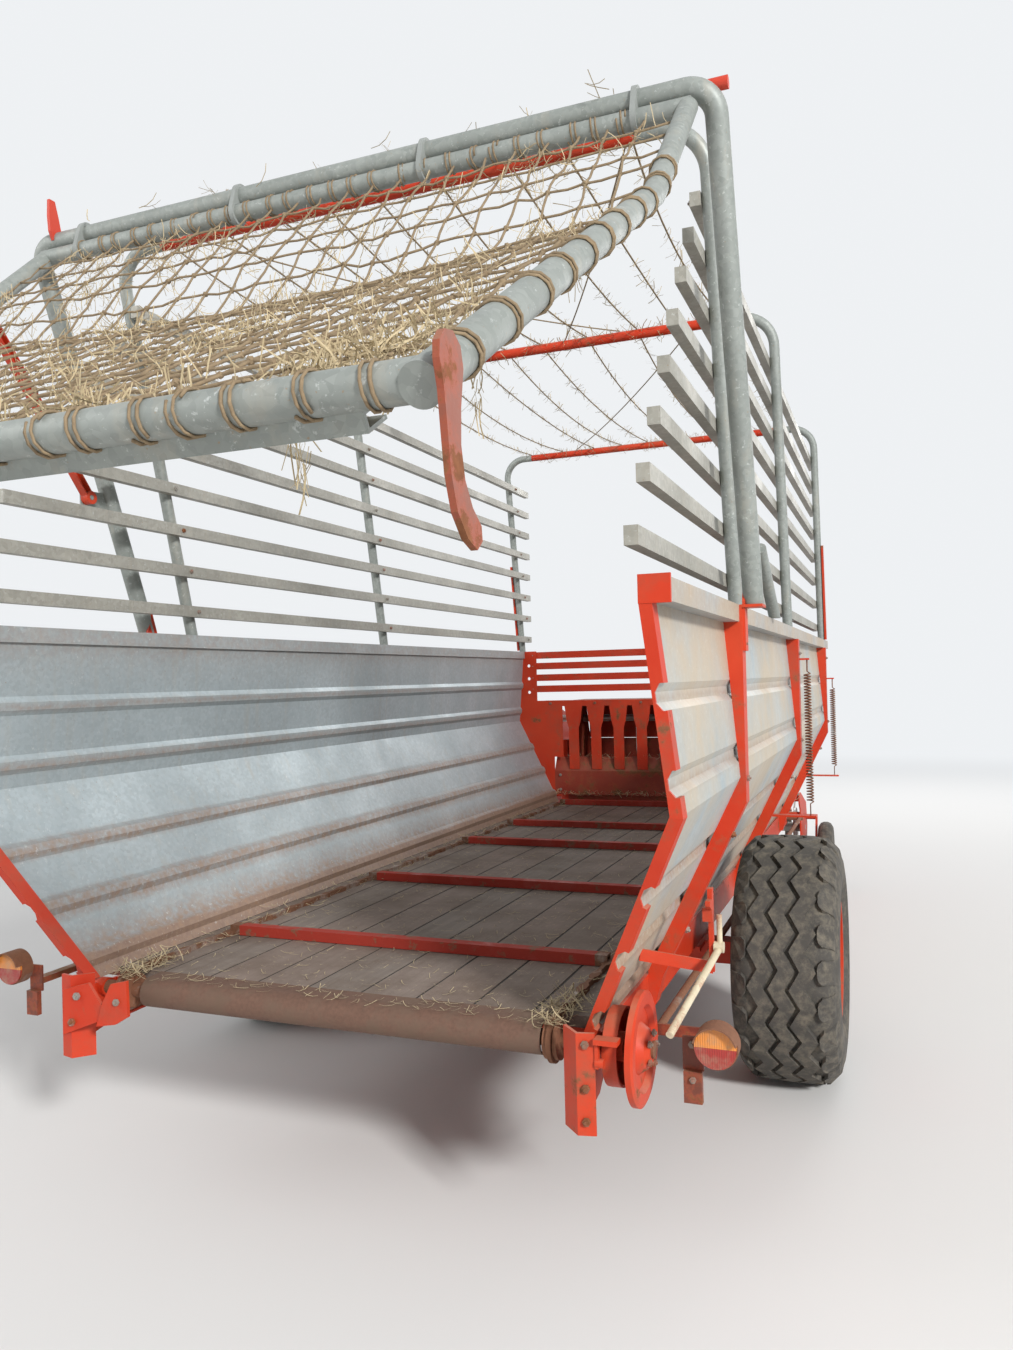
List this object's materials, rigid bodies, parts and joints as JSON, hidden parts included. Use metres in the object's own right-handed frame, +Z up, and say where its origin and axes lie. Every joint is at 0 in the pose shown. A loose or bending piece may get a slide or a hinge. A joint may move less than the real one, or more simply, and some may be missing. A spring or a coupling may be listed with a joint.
{
  "type": "loader wagon",
  "caption": "Towed single-axle loader wagon with flared sheet walls, a slatted superstructure under hoops, a scraper floor, a raised netted tailgate and a pick-up at the front.",
  "frame": {"origin": "middle of the bounding box on the ground", "axes": "+Y is the direction of travel, +X the wagon's right side, +Z up"},
  "size_m": [2.51, 7.767, 2.976],
  "materials": {
    "red_paint": "weathered gloss",
    "galvanised": "dull spangled zinc",
    "planks": "weathered, unpainted",
    "bare_steel": "brown, rusty",
    "worn_steel": "worn bright at the edges",
    "tyre_rubber": "dusty",
    "rope": "frayed tan rope",
    "grey_paint": "satin",
    "dark_paint": "satin",
    "black_plastic": "matt",
    "amber_lens": "ribbed gloss",
    "red_lens": "ribbed gloss"
  },
  "bodies": {
    "chassis": {"main_frame": "red_paint", "axle": "red_paint", "floor_planks": "planks", "scraper_floor": "worn_steel", "scraper_shafts": "bare_steel", "shaft_bearings_front": "dark_paint", "floor_lips": "bare_steel", "end_plates_rear": "red_paint", "corner_bracket_left": "red_paint", "ratchet_rod": "bare_steel", "scraper_drive_wheel": "red_paint", "scraper_drive_ring": "red_paint", "wall_right": "galvanised", "wall_left": "galvanised", "wall_edges": "red_paint", "stanchions_right": "red_paint", "stanchions_left": "red_paint", "gate_hoop": "galvanised", "gate_clamps": "galvanised", "roof_posts": "galvanised", "roof_beams": "red_paint", "side_slats_right": "galvanised", "side_slats_left": "galvanised", "gate_strut": "red_paint", "strut_bracket": "galvanised", "front_bars": "red_paint", "front_comb": "red_paint", "front_sill": "red_paint", "front_side_panels": "red_paint", "front_stays": "red_paint", "feed_channel": "red_paint", "feed_cover": "red_paint", "feed_rake": "worn_steel", "drawbar": "red_paint", "hitch_eye": "bare_steel", "gearbox": "grey_paint", "input_stub": "worn_steel", "input_guard": "black_plastic", "drive_case": "red_paint", "spring_pair": "bare_steel", "spring_hangers": "red_paint", "gate_catch": "galvanised", "lamp_brackets": "bare_steel", "lamp_housings": "black_plastic", "lamp_lenses_amber": "amber_lens", "lamp_lenses_red": "red_lens"},
    "wheel_left": {"tyre_left": "tyre_rubber", "rim_left": "red_paint"},
    "wheel_right": {"tyre_right": "tyre_rubber", "rim_right": "red_paint"},
    "tailgate": {"gate_frame": "galvanised", "gate_channel": "galvanised", "gate_net": "rope", "gate_latches": "red_paint"},
    "pickup": {"pickup_frame": "red_paint", "pickup_strippers": "galvanised"},
    "reel": {"pickup_reel": "worn_steel"},
    "gauge_wheels": {"gauge_wheels": "tyre_rubber"},
    "stand": {"parking_stand": "red_paint"}
  },
  "joints": [
    {"name": "wheel_left_spin", "type": "hinge", "parent": "chassis", "child": "wheel_left", "pos_m": [-1.08, -1.0785, 0.425], "axis": [1, 0, 0], "continuous": true},
    {"name": "wheel_right_spin", "type": "hinge", "parent": "chassis", "child": "wheel_right", "pos_m": [1.08, -1.0785, 0.425], "axis": [1, 0, 0], "continuous": true},
    {"name": "tailgate_hinge", "type": "hinge", "parent": "chassis", "child": "tailgate", "pos_m": [0, -2.3665, 2.803], "axis": [1, 0, 0], "range_deg": [-32, 27]},
    {"name": "pickup_lift", "type": "hinge", "parent": "chassis", "child": "pickup", "pos_m": [0, 1.9215, 0.62], "axis": [1, 0, 0], "range_deg": [-5, 15]},
    {"name": "reel_spin", "type": "hinge", "parent": "pickup", "child": "reel", "pos_m": [0, 2.2615, 0.385], "axis": [1, 0, 0], "continuous": true},
    {"name": "gauge_wheels_spin", "type": "hinge", "parent": "pickup", "child": "gauge_wheels", "pos_m": [0, 2.2515, 0.235], "axis": [1, 0, 0], "continuous": true},
    {"name": "stand_swing", "type": "hinge", "parent": "chassis", "child": "stand", "pos_m": [0, 3.4515, 0.69], "axis": [-1, 0, 0], "range_deg": [0, 85]}
  ]
}
